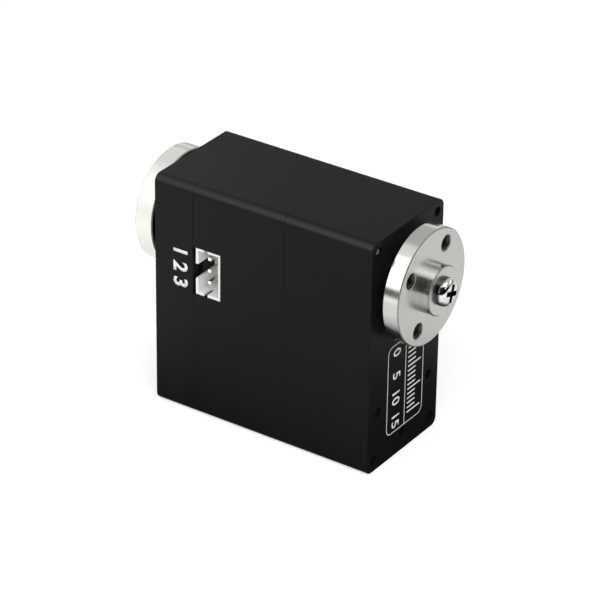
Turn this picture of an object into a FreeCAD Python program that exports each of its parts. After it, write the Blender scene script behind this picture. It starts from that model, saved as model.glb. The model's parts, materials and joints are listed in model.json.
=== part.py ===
"""Joint actuator for a robot: a three-piece metal case, an output horn in front and an idler horn behind.

The output axis is the X axis and the origin is the centre of the output horn's outer face. The case stands on
its bottom face, with +Z up. Its two connectors open to -Y and +Y. Lengths are in millimetres.
"""
import FreeCAD, Part
import math
import os
import Sketcher

V = FreeCAD.Vector
doc = FreeCAD.newDocument("joint_actuator")

# ---------------------------------------------------------------------------
# Driving sizes
# ---------------------------------------------------------------------------
SIZES = [
    # the case and its three shells
    ("case_depth", 48.8, "along the output axis"),
    ("case_width", 24.1, "across the two big side faces"),
    ("case_height", 48.8, "from the bottom face to the top face"),
    ("case_corner", 1.6, "rounding of the four long edges"),
    ("axis_drop", 12.0, "output axis below the top face"),
    ("rear_cover_depth", 8.8, "rear shell along the axis"),
    ("front_case_depth", 19.3, "front shell along the axis"),
    ("seam_bevel", 0.05, "small bevel that draws each seam"),
    ("edge_bevel", 0.1, "bevel round the front and rear faces"),
    ("bulkhead", 3.4, "wall behind the gear room"),
    ("motor_end_wall", 5.2, "rear cover behind the motor"),
    ("board_end_wall", 3.2, "rear cover behind the circuit board"),
    # the long bolts that hold the three shells together
    ("bolt_inset_side", 2.2, "bolt axis from the side faces"),
    ("bolt_inset_top", 2.2, "upper bolt axes below the top face"),
    ("bolt_inset_base", 2.5, "lower bolt axes above the bottom face"),
    ("bolt_thread", 2.0, "thread diameter"),
    ("bolt_head", 3.6, "head diameter"),
    ("bolt_head_height", 1.7, "head height"),
    ("bolt_head_sink", 0.4, "head below the rear face"),
    ("bolt_head_play", 0.1, "head to its recess, on the radius"),
    ("bolt_play", 0.08, "thread to its passage, on the radius"),
    ("bolt_tip_sink", 0.9, "thread end below the front face"),
    # tapped holes for brackets, alike in the front and rear faces
    ("fixing_spread", 17.3, "distance between the two side holes"),
    ("fixing_height", 12.4, "side holes above the bottom face"),
    ("fixing_base", 3.9, "middle hole above the bottom face"),
    ("fixing_hole", 2.0, "tapped diameter"),
    ("fixing_depth", 4.0, "depth of thread"),
    # output horn
    ("horn_diameter", 23.0, "both horns"),
    ("horn_thickness", 3.4, "output horn's disc"),
    ("horn_gap", 2.0, "front face to the output horn"),
    ("horn_pitch_circle", 17.0, "circle of the four tapped holes"),
    ("horn_thread", 3.0, "tapped hole diameter"),
    ("horn_hole_bevel", 0.2, "bevel at the mouth of each hole"),
    ("horn_turn", 31.1, "angle of the first hole from the top, in degrees"),
    ("horn_edge", 0.2, "bevel on the rim"),
    ("horn_boss", 9.8, "diameter of the middle boss"),
    ("horn_boss_height", 2.4, "boss in front of the disc"),
    ("horn_boss_wall", 1.8, "boss metal under the screw head"),
    ("horn_hub", 9.0, "diameter of the hub behind the disc"),
    ("screw_thread", 3.0, "screws of both horns"),
    ("screw_head", 5.6, "pan head diameter"),
    ("screw_head_height", 1.9, "pan head height"),
    ("screw_length", 8.0, "under the head"),
    ("head_crown", 0.75, "rounding of a pan head as a share of its height"),
    ("recess_share", 0.6, "depth of a cross recess as a share of its head"),
    ("recess_span", 0.64, "span of a cross recess as a share of its head"),
    ("recess_width", 0.18, "width of its arms as a share of its head"),
    ("recess_taper", 8.0, "slope of its walls, in degrees"),
    ("recess_turn", -18.0, "turn of the horn screw about its axis, in degrees"),
    ("thread_play", 0.05, "screw stems to their threads, on the radius"),
    ("tap_run_out", 0.85, "drilled hole beyond the end of its screw"),
    # output shaft
    ("spline_diameter", 5.9, "over the spline teeth"),
    ("spline_depth", 0.22, "height of a spline tooth"),
    ("spline_teeth", 25.0, "spline teeth"),
    ("spline_foot", 0.32, "half a tooth's foot as a share of the pitch"),
    ("spline_land", 0.18, "half a tooth's tip as a share of the pitch"),
    ("spline_play", 0.04, "radial play of the horn on the spline"),
    ("shaft_rise", 0.2, "shaft shoulder in front of the case"),
    ("shaft_collar", 0.4, "collar behind the front bearing, on the radius"),
    ("tail_diameter", 3.0, "thin rear part of the output shaft"),
    ("running_play", 0.04, "radial play of each part that turns on a pin"),
    # bearings
    ("bearing_bore", 10.0, "front bearing"),
    ("bearing_outside", 15.0, "front bearing"),
    ("bearing_width", 4.0, "front bearing"),
    ("tail_bearing_outside", 7.0, "rear bearing of the shaft"),
    ("tail_bearing_width", 3.0, "rear bearing of the shaft"),
    ("idler_bearing_bore", 6.0, "idler bearing"),
    ("idler_bearing_outside", 10.0, "idler bearing"),
    ("idler_bearing_width", 3.0, "idler bearing"),
    ("ring_share", 0.3, "thickness of a bearing ring as a share of the bearing's wall"),
    ("shield_thickness", 0.2, "bearing shields"),
    ("shield_play", 0.1, "shield to inner ring"),
    ("seal_width", 0.5, "dust seal along the shaft"),
    ("seal_outside", 12.0, "dust seal diameter"),
    ("seal_sink", 0.15, "dust seal below the front face"),
    ("tail_bearing_lip", 0.8, "lip behind the shaft's rear bearing, on the radius"),
    # gear train
    ("module_rear", 0.4, "tooth size of the first pair"),
    ("module_front", 0.5, "tooth size of the last pair"),
    ("pressure_angle", 25.0, "of all teeth, in degrees"),
    ("backlash", 0.07, "tooth thinning at the pitch circle"),
    ("root_clearance", 0.25, "under each tooth's tip as a share of the tooth size"),
    ("rotor_teeth", 14.0, "motor pinion"),
    ("wheel_1_teeth", 48.0, "first wheel"),
    ("pinion_1_teeth", 14.0, "first pinion"),
    ("wheel_2_teeth", 46.0, "second wheel"),
    ("pinion_2_teeth", 12.0, "second pinion"),
    ("pinion_3_teeth", 12.0, "third pinion"),
    ("output_teeth", 36.0, "output wheel"),
    ("layer_1", 2.0, "width of the first wheel"),
    ("layer_2", 2.6, "width of the second wheel"),
    ("layer_3", 3.5, "width of the third wheel"),
    ("layer_4", 4.5, "width of the output wheel"),
    ("layer_gap", 0.4, "between layers of wheels"),
    ("gear_room_play", 0.3, "tooth tips to the wall of the gear room"),
    ("arbor_diameter", 2.0, "pin of the first and third gears"),
    ("arbor_seat_front", 2.5, "pin in the front shell"),
    ("arbor_seat_rear", 2.6, "pin in the bulkhead"),
    # motor
    ("motor_diameter", 20.0, "motor can"),
    ("motor_cap_length", 3.0, "plastic end cap"),
    ("motor_end_play", 0.4, "end cap to the rear shell"),
    ("motor_cap_step", 0.4, "end cap narrower than the can, on the radius"),
    ("motor_edge", 0.8, "bevel of the can and the cap"),
    ("motor_pilot", 7.0, "centring collar diameter"),
    ("motor_pilot_height", 1.5, "centring collar height"),
    ("motor_play", 0.15, "can to its bore, on the radius"),
    ("motor_shaft", 2.0, "motor shaft diameter"),
    ("motor_shaft_inside", 8.0, "motor shaft inside the can"),
    ("motor_screw_spread", 12.0, "between the two motor screws"),
    ("motor_screw_thread", 2.0, "thread diameter"),
    ("motor_screw_head", 3.8, "flat head diameter"),
    ("motor_screw_length", 5.5, "over all"),
    ("motor_screw_sink", 1.7, "depth of the head's recess in the bulkhead"),
    ("motor_head_sink", 0.08, "head below the bulkhead's front"),
    # circuit board and connectors
    ("board_thickness", 1.2, "circuit board"),
    ("board_step", 0.55, "board let into the middle shell"),
    ("board_half_width", 9.6, "from the middle to either side"),
    ("board_top", 8.9, "top edge above the output axis"),
    ("board_base", 12.9, "bottom edge below the output axis"),
    ("board_corner", 3.8, "corner radius"),
    ("board_play", 0.3, "board to the shells"),
    ("post_diameter", 2.4, "posts behind the board"),
    ("post_inset", 2.8, "posts from the board's side and bottom edges"),
    ("board_ledge", 1.4, "ledge under the board's edge"),
    ("chip_side", 5.0, "angle sensor chip"),
    ("chip_height", 0.9, "angle sensor chip"),
    ("controller_side", 6.0, "controller chip"),
    ("controller_height", 1.0, "controller chip"),
    ("controller_rise", 4.4, "controller chip above the output axis"),
    ("magnet_diameter", 4.0, "sensor magnet"),
    ("magnet_thickness", 1.4, "sensor magnet"),
    ("magnet_air", 0.85, "magnet to chip"),
    ("cup_wall", 0.6, "wall of the magnet's cup"),
    ("cup_grip", 1.2, "cup on the shaft"),
    ("socket_depth", 5.7, "connector body along the output axis"),
    ("socket_height", 9.9, "connector body, top to bottom"),
    ("socket_length", 7.0, "connector body from mouth to back"),
    ("socket_wall", 0.55, "connector walls"),
    ("socket_floor", 1.0, "connector back wall"),
    ("socket_recess", 0.25, "mouth below the side face"),
    ("socket_drop", 5.57, "middle of the connector below the output axis"),
    ("socket_slot", 3.1, "slot in the wall next to the board"),
    ("socket_end_slot", 0.9, "notches in the two end walls, in line with the pins"),
    ("socket_end_depth", 2.6, "depth of these notches from the mouth"),
    ("socket_play", 0.08, "connector to its window"),
    ("pin_pitch", 2.5, "between contact pins"),
    ("pin_side", 0.64, "square contact pin"),
    ("pin_offset", 2.25, "pins in front of the board"),
    ("pin_tip_sink", 1.3, "pin tips inside the mouth"),
    ("pin_bend", 0.9, "pins behind the connector, to their bend"),
    ("pin_hole", 1.0, "holes for the pins in the board"),
    # idler horn
    ("idler_thickness", 4.0, "idler horn's disc"),
    ("idler_gap", 1.2, "rear face to the idler horn"),
    ("idler_lip", 0.8, "lip that keeps the idler bearing in"),
    ("idler_shoulder", 0.7, "shoulder of the stub, on the radius"),
    ("washer_thickness", 0.5, "idler washer"),
    ("idler_screw_length", 6.0, "under the head"),
]

sheet = doc.addObject("Spreadsheet::Sheet", "sizes")
for row, (name, value, note) in enumerate(SIZES, start=1):
    sheet.set(f"A{row}", name)
    sheet.set(f"B{row}", str(value))
    sheet.setAlias(f"B{row}", name)
    sheet.set(f"C{row}", note)
doc.recompute()


class Size:
    """A length or an angle: its number, and the formula over the spreadsheet that gives it."""

    def __init__(self, number, formula):
        self.number = float(number)
        self.formula = formula

    def __add__(self, other):
        other = size(other)
        return Size(self.number + other.number, f"({self.formula} + {other.formula})")

    def __sub__(self, other):
        other = size(other)
        return Size(self.number - other.number, f"({self.formula} - {other.formula})")

    def __mul__(self, other):
        other = size(other)
        return Size(self.number * other.number, f"({self.formula} * {other.formula})")

    def __truediv__(self, other):
        other = size(other)
        return Size(self.number / other.number, f"({self.formula} / {other.formula})")

    def __neg__(self):
        return Size(-self.number, f"(-1 * {self.formula})")


def size(value):
    """A Size as it is, or a plain number made into one."""
    return value if isinstance(value, Size) else Size(value, repr(float(value)))


def cosine(degrees):
    return Size(math.cos(math.radians(degrees.number)), f"cos({degrees.formula} * 1 deg)")


def sine(degrees):
    return Size(math.sin(math.radians(degrees.number)), f"sin({degrees.formula} * 1 deg)")


class Sheet:
    """The spreadsheet's cells as Size values, by alias."""

    def __getattr__(self, alias):
        return Size(getattr(sheet, alias), f"sizes.{alias}")


S = Sheet()


# ---------------------------------------------------------------------------
# Ways to draw and cut
# ---------------------------------------------------------------------------
def bind(item, name, value):
    item.setExpression(name, size(value).formula)


def new_body(name):
    body = doc.addObject("PartDesign::Body", name)
    body.Label = name
    return body


def new_sketch(body, plane, offset=0.0):
    """A sketch on one of the body's own planes, moved along that plane's normal."""
    sketch = body.newObject("Sketcher::SketchObject", f"{body.Name}_sketch")
    base = [item for item in body.Origin.OriginFeatures if item.Role == plane][0]
    sketch.AttachmentSupport = [(base, "")]
    sketch.MapMode = "FlatFace"
    bind(sketch, "AttachmentOffset.Base.z", offset)
    return sketch


def fix_point(sketch, index, place, across, up):
    """Bind a point of a sketch to its distances from the sketch's origin."""
    for kind, value in (("DistanceX", size(across)), ("DistanceY", size(up))):
        number = sketch.addConstraint(Sketcher.Constraint(kind, -1, 1, index, place, value.number))
        sketch.setExpression(f"Constraints[{number}]", value.formula)


def outline(*corners):
    """Draws a closed outline of straight lines through the corners."""
    corners = [(size(across), size(up)) for across, up in corners]

    def draw(sketch):
        points = [V(across.number, up.number, 0) for across, up in corners]
        first = sketch.GeometryCount
        total = len(points)
        after = [(k + 1) % total for k in range(total)]
        sketch.addGeometry([Part.LineSegment(points[k], points[after[k]]) for k in range(total)])
        for k in range(total):
            sketch.addConstraint(Sketcher.Constraint("Coincident", first + k, 2, first + after[k], 1))
        for k, (across, up) in enumerate(corners):
            fix_point(sketch, first + k, 1, across, up)

    return draw


def rectangle(left, right, base, top):
    return outline((left, base), (right, base), (right, top), (left, top))


def rounded_rectangle(left, right, base, top, radius):
    """Draws a rectangle with four equal round corners, each arc tangent to its two sides."""
    left, right, base, top, radius = (size(value) for value in (left, right, base, top, radius))

    def draw(sketch):
        first = sketch.GeometryCount
        centres = [
            (right - radius, base + radius),
            (right - radius, top - radius),
            (left + radius, top - radius),
            (left + radius, base + radius),
        ]
        for k, (across, up) in enumerate(centres):
            start = math.radians(90 * k - 90)
            circle = Part.Circle(V(across.number, up.number, 0), V(0, 0, 1), radius.number)
            sketch.addGeometry(Part.ArcOfCircle(circle, start, start + math.pi / 2))
        for k in range(4):
            arc = sketch.Geometry[first + k]
            after = sketch.Geometry[first + (k + 1) % 4]
            sketch.addGeometry(Part.LineSegment(arc.EndPoint, after.StartPoint))
        rules = []
        for k in range(4):
            rules.append(Sketcher.Constraint("Tangent", first + k, 2, first + 4 + k, 1))
            rules.append(Sketcher.Constraint("Tangent", first + 4 + k, 2, first + (k + 1) % 4, 1))
        sketch.addConstraint(rules)
        for k, (across, up) in enumerate(centres):
            fix_point(sketch, first + k, 3, across, up)
        number = sketch.addConstraint(Sketcher.Constraint("Radius", first, radius.number))
        sketch.setExpression(f"Constraints[{number}]", radius.formula)

    return draw


def circles(radius, *centres):
    """Draws circles of one radius about the given centres."""
    radius = size(radius)

    def draw(sketch):
        for across, up in centres:
            across, up = size(across), size(up)
            circle = Part.Circle(V(across.number, up.number, 0), V(0, 0, 1), radius.number)
            index = sketch.addGeometry(circle)
            fix_point(sketch, index, 3, across, up)
            number = sketch.addConstraint(Sketcher.Constraint("Radius", index, radius.number))
            sketch.setExpression(f"Constraints[{number}]", radius.formula)

    return draw


# the plane that faces along each axis
PLANES = {"X": "YZ_Plane", "Y": "XZ_Plane", "Z": "XY_Plane"}


def pad(body, low, high, *drawings, axis="X"):
    """Adds metal from low to high along the axis, with the drawn section."""
    # the XZ plane faces -Y, so there the sketch lies at the high end
    backwards = axis == "Y"
    sketch = new_sketch(body, PLANES[axis], -size(high) if backwards else size(low))
    for draw in drawings:
        draw(sketch)
    feature = body.newObject("PartDesign::Pad", f"{body.Name}_pad")
    feature.Profile = sketch
    bind(feature, "Length", size(high) - size(low))
    doc.recompute()


def pocket(body, low, high, *drawings, axis="X"):
    """Cuts from high to low along the axis, with the drawn section."""
    backwards = axis == "Y"
    sketch = new_sketch(body, PLANES[axis], -size(low) if backwards else size(high))
    for draw in drawings:
        draw(sketch)
    before = body.Shape.Volume
    feature = body.newObject("PartDesign::Pocket", f"{body.Name}_pocket")
    feature.Profile = sketch
    bind(feature, "Length", size(high) - size(low))
    doc.recompute()
    if not body.Shape.Volume < before:
        raise RuntimeError(f"{feature.Name} cuts nothing")


def turn(body, *corners):
    """Revolves an outline of (place along X, radius) corners about the X axis."""
    sketch = new_sketch(body, "XY_Plane")
    outline(*corners)(sketch)
    feature = body.newObject("PartDesign::Revolution", f"{body.Name}_turning")
    feature.Profile = sketch
    feature.ReferenceAxis = (sketch, ["H_Axis"])
    feature.Angle = 360.0
    doc.recompute()


def tube(low, high, inside, outside):
    """The corners of a turned ring."""
    return (low, inside), (high, inside), (high, outside), (low, outside)


def bevel(body, width, wanted):
    """Bevels the edges of the body for which wanted(edge) is true."""
    names = [f"Edge{k}" for k, edge in enumerate(body.Shape.Edges, start=1) if wanted(edge)]
    solid = body.Tip
    feature = body.newObject("PartDesign::Chamfer", f"{body.Name}_bevel")
    feature.Base = (solid, names)
    bind(feature, "Size", width)
    doc.recompute()


def rounding(body, radius, wanted):
    """Rounds the edges of the body for which wanted(edge) is true."""
    names = [f"Edge{k}" for k, edge in enumerate(body.Shape.Edges, start=1) if wanted(edge)]
    solid = body.Tip
    feature = body.newObject("PartDesign::Fillet", f"{body.Name}_rounding")
    feature.Base = (solid, names)
    bind(feature, "Radius", radius)
    doc.recompute()


def at_x(edge, place):
    """Whether an edge lies wholly in the plane across the axis at that place."""
    box = edge.BoundBox
    return abs(box.XMin - place.number) < 1e-5 and abs(box.XMax - place.number) < 1e-5


def is_circle(edge, radius):
    return isinstance(edge.Curve, Part.Circle) and abs(edge.Curve.Radius - radius.number) < 1e-5


def place(item, across=0.0, up=0.0, turned=0.0):
    """Moves a finished piece sideways and up and turns it about its own X axis, bound to the sheet."""
    item.Placement = FreeCAD.Placement(V(), FreeCAD.Rotation(V(1, 0, 0), 1.0))
    bind(item, "Placement.Base.y", across)
    bind(item, "Placement.Base.z", up)
    item.setExpression("Placement.Rotation.Angle", f"{size(turned).formula} * 1 deg")


# ---------------------------------------------------------------------------
# Places worked out from the sizes
# ---------------------------------------------------------------------------
# along the output axis
front = -(S.horn_gap + S.horn_thickness)
rear = front - S.case_depth
front_seam = front - S.front_case_depth
rear_seam = rear + S.rear_cover_depth
bulkhead_rear = front_seam - S.bulkhead
# up and down, and to the sides
top = S.axis_drop
base = S.axis_drop - S.case_height
side = S.case_width / 2

# the gears stand in four layers, counted from the bulkhead forwards
layer_1_low = front_seam + S.layer_gap
layer_1_high = layer_1_low + S.layer_1
layer_2_low = layer_1_high + S.layer_gap
layer_2_high = layer_2_low + S.layer_2
layer_3_low = layer_2_high + S.layer_gap
layer_3_high = layer_3_low + S.layer_3
layer_4_low = layer_3_high + S.layer_gap
layer_4_high = layer_4_low + S.layer_4
gear_ceiling = layer_4_high + S.layer_gap

# the arbor lies below the output shaft, and the motor below the arbor
arbor_z = -(S.module_front * (S.pinion_3_teeth + S.output_teeth) / 2)
motor_z = arbor_z - S.module_rear * (S.rotor_teeth + S.wheel_1_teeth) / 2
motor_radius = S.motor_diameter / 2
motor_rear = rear + S.motor_end_wall + S.motor_end_play + S.motor_cap_length

# the circuit board
board_front = rear_seam + S.board_step
board_rear = board_front - S.board_thickness

# four long bolts
bolt_y = side - S.bolt_inset_side
bolt_places = [
    (-bolt_y, top - S.bolt_inset_top),
    (bolt_y, top - S.bolt_inset_top),
    (bolt_y, base + S.bolt_inset_base),
    (-bolt_y, base + S.bolt_inset_base),
]
# bracket holes
fixing_places = [
    (-(S.fixing_spread / 2), base + S.fixing_height),
    (S.fixing_spread / 2, base + S.fixing_height),
    (size(0), base + S.fixing_base),
]


# ---------------------------------------------------------------------------
# Gear teeth
# ---------------------------------------------------------------------------
def involute_point(base_radius, radius, start):
    """A point of an involute at the given radius, the curve leaving its base circle at angle start."""
    if radius <= base_radius:
        return V(0, radius * math.sin(start), radius * math.cos(start))
    roll = math.sqrt((radius / base_radius) ** 2 - 1)
    angle = start + roll - math.atan(roll)
    return V(0, radius * math.sin(angle), radius * math.cos(angle))


def gear_face(teeth, pitch_radius, starts_with_tooth, points_down):
    """The section of a gear about the X axis, with a tooth or a gap at its top or its bottom."""
    module = 2 * pitch_radius / teeth
    pressure = math.radians(S.pressure_angle.number)
    base_radius = pitch_radius * math.cos(pressure)
    tip = pitch_radius + module
    root = pitch_radius - (1 + S.root_clearance.number) * module
    half_tooth = math.pi / (2 * teeth) - S.backlash.number / (2 * pitch_radius)
    # half the tooth's angle at the base circle
    half_base = half_tooth + math.tan(pressure) - pressure
    radii = [root, max(base_radius, root), pitch_radius, tip]
    first = 0.0 if starts_with_tooth else math.pi / teeth
    if points_down:
        first += math.pi
    points = []
    for k in range(teeth):
        middle = first + 2 * math.pi * k / teeth
        flank = [involute_point(base_radius, radius, -half_base) for radius in dict.fromkeys(radii)]
        mirrored = [V(0, -point.y, point.z) for point in reversed(flank)]
        for point in flank + mirrored:
            across = point.y * math.cos(middle) + point.z * math.sin(middle)
            up = point.z * math.cos(middle) - point.y * math.sin(middle)
            points.append(V(0, across, up))
    return Part.Face(Part.makePolygon(points + points[:1]))


def gear_ring(teeth, pitch_radius, low, high, starts_with_tooth, points_down):
    """A toothed disc from low to high along the X axis."""
    face = gear_face(teeth, pitch_radius, starts_with_tooth, points_down)
    face.translate(V(low.number, 0, 0))
    return face.extrude(V(high.number - low.number, 0, 0))


def whole(count):
    return int(round(count.number))


def cylinder(low, high, radius):
    return Part.makeCylinder(radius, high.number - low.number, V(low.number, 0, 0), V(1, 0, 0))


def shaped(name, shape, up=0.0):
    """A piece whose shape is worked out point by point, set at its height."""
    item = doc.addObject("Part::Feature", name)
    item.Label = name
    item.Shape = shape
    bind(item, "Placement.Base.z", up)
    return item


# pitch radii: the pairs between the arbor and the output axis share one centre distance
centre_distance = -arbor_z.number
radius_rotor = S.module_rear.number * whole(S.rotor_teeth) / 2
radius_wheel_1 = S.module_rear.number * whole(S.wheel_1_teeth) / 2
share_2 = centre_distance / (whole(S.pinion_1_teeth) + whole(S.wheel_2_teeth))
radius_pinion_1 = share_2 * whole(S.pinion_1_teeth)
radius_wheel_2 = share_2 * whole(S.wheel_2_teeth)
wheel_3_teeth = whole(S.pinion_3_teeth) + whole(S.output_teeth) - whole(S.pinion_2_teeth)
share_3 = centre_distance / (whole(S.pinion_2_teeth) + wheel_3_teeth)
radius_pinion_2 = share_3 * whole(S.pinion_2_teeth)
radius_wheel_3 = share_3 * wheel_3_teeth
share_4 = centre_distance / (whole(S.pinion_3_teeth) + whole(S.output_teeth))
radius_pinion_3 = share_4 * whole(S.pinion_3_teeth)
radius_output = share_4 * whole(S.output_teeth)


# ---------------------------------------------------------------------------
# Case
# ---------------------------------------------------------------------------
def larger(one, other):
    return Size(max(one.number, other.number), f"max({one.formula}; {other.formula})")


def shell(name, low, low_bevel, high, high_bevel):
    """A length of the case's section, with a small bevel round each end."""
    body = new_body(name)
    pad(body, low, high, rounded_rectangle(-side, side, base, top, S.case_corner))
    bevel(body, low_bevel, lambda edge: at_x(edge, low))
    bevel(body, high_bevel, lambda edge: at_x(edge, high))
    return body


# tooth tips, for the walls of the gear room
tip_rotor = S.module_rear * (S.rotor_teeth + 2) / 2
tip_wheel_1 = S.module_rear * (S.wheel_1_teeth + 2) / 2
tip_wheel_2 = -arbor_z * (S.wheel_2_teeth + 2) / (S.pinion_1_teeth + S.wheel_2_teeth)
tip_output = S.module_front * (S.output_teeth + 2) / 2
tip_wheel_3 = S.module_front * (S.pinion_3_teeth + S.output_teeth - S.pinion_2_teeth + 2) / 2

# the circuit board's seat, and the narrower room in front of it
board_hole = [
    -(S.board_half_width + S.board_play),
    S.board_half_width + S.board_play,
    -(S.board_base + S.board_play),
    S.board_top + S.board_play,
    S.board_corner + S.board_play,
]
room = [
    S.board_ledge - S.board_half_width,
    S.board_half_width - S.board_ledge,
    S.board_ledge - S.board_base,
    S.board_top - S.board_ledge,
    S.board_corner,
]

arbor_seat = S.arbor_diameter / 2
arbor_rear = front_seam - S.arbor_seat_rear
arbor_front = gear_ceiling + S.arbor_seat_front
seal_front = front - S.seal_sink
journal = S.bearing_bore / 2

# front shell: the room for the gears is milled from behind, round each gear's tips
front_case = shell("front_case", front_seam, S.seam_bevel, front, S.edge_bevel)
pocket(
    front_case,
    front_seam,
    gear_ceiling,
    circles(larger(tip_wheel_2, tip_output) + S.gear_room_play, (0, 0)),
)
pocket(
    front_case,
    front_seam,
    gear_ceiling,
    circles(larger(tip_wheel_1, tip_wheel_3) + S.gear_room_play, (0, arbor_z)),
)
pocket(
    front_case,
    front_seam,
    layer_1_high + S.layer_gap,
    circles(tip_rotor + S.gear_room_play, (0, motor_z)),
)
pocket(
    front_case,
    gear_ceiling,
    gear_ceiling + S.bearing_width,
    circles(S.bearing_outside / 2, (0, 0)),
)
pocket(front_case, gear_ceiling, front, circles(S.seal_outside / 2, (0, 0)))
pocket(front_case, gear_ceiling, arbor_front, circles(arbor_seat, (0, arbor_z)))
pocket(front_case, front_seam, front, circles(S.bolt_thread / 2, *bolt_places))
pocket(front_case, front - S.fixing_depth, front, circles(S.fixing_hole / 2, *fixing_places))

# middle shell: bulkhead in front, motor bore and the board's room open to the rear
bolt_passage = S.bolt_thread / 2 + S.bolt_play
motor_screw_places = [(-(S.motor_screw_spread / 2), motor_z), (S.motor_screw_spread / 2, motor_z)]
window_front = board_front + S.socket_depth + S.socket_play
window_low = -(S.socket_drop + S.socket_height / 2 + S.socket_play)
window_high = -(S.socket_drop - S.socket_height / 2 - S.socket_play)

middle_case = shell("middle_case", rear_seam, S.seam_bevel, front_seam, S.seam_bevel)
pocket(middle_case, rear_seam, bulkhead_rear, circles(motor_radius + S.motor_play, (0, motor_z)))
pocket(middle_case, rear_seam, board_front, rounded_rectangle(*board_hole))
pocket(middle_case, rear_seam, bulkhead_rear, rounded_rectangle(*room))
pocket(
    middle_case,
    front_seam - S.tail_bearing_width,
    front_seam,
    circles(S.tail_bearing_outside / 2, (0, 0)),
)
pocket(
    middle_case,
    bulkhead_rear,
    front_seam,
    circles(S.tail_bearing_outside / 2 - S.tail_bearing_lip, (0, 0)),
)
pocket(middle_case, arbor_rear, front_seam, circles(arbor_seat, (0, arbor_z)))
pocket(middle_case, bulkhead_rear, front_seam, circles(S.motor_pilot / 2, (0, motor_z)))
pocket(
    middle_case,
    bulkhead_rear,
    front_seam,
    circles(S.motor_screw_thread / 2 + S.running_play, *motor_screw_places),
)
pocket(
    middle_case,
    front_seam - S.motor_screw_sink,
    front_seam,
    circles(S.motor_screw_head / 2 + S.running_play, *motor_screw_places),
)
pocket(middle_case, rear_seam, front_seam, circles(bolt_passage, *bolt_places))
# one cut across the case opens the windows of both connectors
pocket(middle_case, -side, side, rectangle(rear_seam, window_front, window_low, window_high), axis="Y")

# rear shell: stub of the idler horn outside, the board's posts inside
stub_root = rear - S.idler_gap - S.idler_lip
stub_end = stub_root - S.idler_bearing_width + S.running_play
post_y = S.board_half_width - S.post_inset
post_z = S.post_inset - S.board_base

rear_cover = shell("rear_cover", rear, S.edge_bevel, rear_seam, S.seam_bevel)
pocket(
    rear_cover,
    rear + S.motor_end_wall,
    rear_seam,
    circles(motor_radius + S.motor_play, (0, motor_z)),
)
pocket(rear_cover, rear + S.board_end_wall, rear_seam, rounded_rectangle(*board_hole))
pad(
    rear_cover,
    rear + S.board_end_wall,
    board_rear,
    circles(S.post_diameter / 2, (-post_y, post_z), (post_y, post_z)),
)
pad(rear_cover, stub_root, rear, circles(S.idler_bearing_bore / 2 + S.idler_shoulder, (0, 0)))
pad(rear_cover, stub_end, stub_root, circles(S.idler_bearing_bore / 2, (0, 0)))
pocket(rear_cover, stub_end, stub_end + S.idler_screw_length, circles(S.screw_thread / 2, (0, 0)))
pocket(rear_cover, rear, rear_seam, circles(bolt_passage, *bolt_places))
pocket(
    rear_cover,
    rear,
    rear + S.bolt_head_sink + S.bolt_head_height,
    circles(S.bolt_head / 2 + S.bolt_head_play, *bolt_places),
)
pocket(rear_cover, rear, rear + S.fixing_depth, circles(S.fixing_hole / 2, *fixing_places))


# ---------------------------------------------------------------------------
# Screws
# ---------------------------------------------------------------------------
def cross(span, width):
    """Draws the outline of a cross recess."""
    a, b = span / 2, width / 2
    corners = []
    for across, up in ((1, 1), (-1, 1), (-1, -1), (1, -1)):
        arm = [(b * across, a * up), (b * across, b * up), (a * across, b * up)]
        corners += arm[::-1] if across * up > 0 else arm
    return outline(*corners)


def screw(name, under_head, outward, head, head_height, thread, length, domed=False):
    """A screw along the X axis: outward is 1 for a head towards +X and -1 for one towards -X."""
    body = new_body(name)
    head_top = under_head + head_height * outward
    end = under_head - length * outward
    stem = thread / 2 - S.thread_play
    turn(
        body,
        (end, 0),
        (end, stem),
        (under_head, stem),
        (under_head, head / 2),
        (head_top, head / 2),
        (head_top, 0),
    )
    if domed:
        rim = head / 2
        rounding(body, head_height * S.head_crown, lambda edge: at_x(edge, head_top) and is_circle(edge, rim))
    sketch = new_sketch(body, PLANES["X"], head_top)
    cross(head * S.recess_span, head * S.recess_width)(sketch)
    recess = body.newObject("PartDesign::Pocket", f"{name}_recess")
    recess.Profile = sketch
    recess.Reversed = outward < 0
    bind(recess, "Length", head_height * S.recess_share)
    recess.setExpression("TaperAngle", f"{(-S.recess_taper).formula} * 1 deg")
    doc.recompute()
    return body


bolt_under_head = rear + S.bolt_head_sink + S.bolt_head_height
for k, (across, up) in enumerate(bolt_places, start=1):
    bolt = screw(
        f"case_bolt_{k}",
        bolt_under_head,
        -1,
        S.bolt_head,
        S.bolt_head_height,
        S.bolt_thread,
        front - S.bolt_tip_sink - bolt_under_head,
    )
    place(bolt, across, up)

for k, (across, up) in enumerate(motor_screw_places, start=1):
    motor_screw = screw(
        f"motor_screw_{k}",
        front_seam - S.motor_screw_sink,
        1,
        S.motor_screw_head,
        S.motor_screw_sink - S.motor_head_sink,
        S.motor_screw_thread,
        S.motor_screw_length,
    )
    place(motor_screw, across, up)

horn_screw = screw(
    "horn_screw",
    S.horn_boss_height,
    1,
    S.screw_head,
    S.screw_head_height,
    S.screw_thread,
    S.screw_length,
    domed=True,
)
place(horn_screw, turned=S.recess_turn)
idler_seat = stub_root - S.idler_bearing_width - S.washer_thickness
screw(
    "idler_screw",
    idler_seat,
    -1,
    S.screw_head,
    S.screw_head_height,
    S.screw_thread,
    S.idler_screw_length,
    domed=True,
)


# ---------------------------------------------------------------------------
# Horns
# ---------------------------------------------------------------------------
def horn_hole_places():
    """Centres of the four tapped holes, a quarter turn apart."""
    reach = S.horn_pitch_circle / 2
    across = sine(S.horn_turn) * reach
    up = cosine(S.horn_turn) * reach
    return [(across, up), (up, -across), (-across, -up), (-up, across)]


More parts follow.
